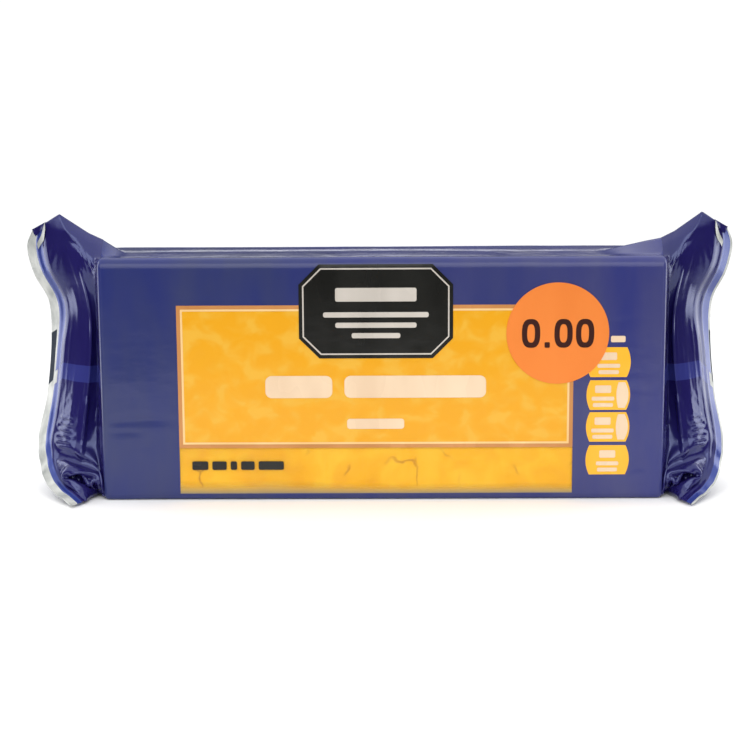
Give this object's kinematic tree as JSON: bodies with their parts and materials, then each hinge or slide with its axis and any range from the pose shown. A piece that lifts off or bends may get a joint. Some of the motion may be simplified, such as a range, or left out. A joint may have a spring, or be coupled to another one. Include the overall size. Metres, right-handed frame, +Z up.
{
  "type": "packed cheddar cheese block",
  "caption": "Block of cheddar cheese in a tight, sealed printed film pack with a clear window, a crimped seal at each end and a round sticker, standing on its narrow side.",
  "frame": {"origin": "middle of the flat base that the pack stands on", "axes": "+X along the block, to the right as seen from the front; the front face with the window looks towards -Y; +Z up"},
  "size_m": [0.1788, 0.033, 0.0708],
  "materials": {
    "printed_film": "glossy printed film, blue-violet, tight and slightly creased",
    "clear_film": "clear glossy film, slightly dull at the edges",
    "amber_print": "warm yellow print on glossy film",
    "pale_print": "cream to white print on glossy film",
    "dark_print": "near-black print on glossy film",
    "unprinted_film": "milky pale film without print",
    "cheese": "smooth moist cheddar, mottled, with small cracks and pits",
    "sticker_paper": "smooth orange coated paper label"
  },
  "bodies": {
    "root": {"sealed_pack": "printed_film", "price_sticker": "sticker_paper"}
  },
  "joints": []
}
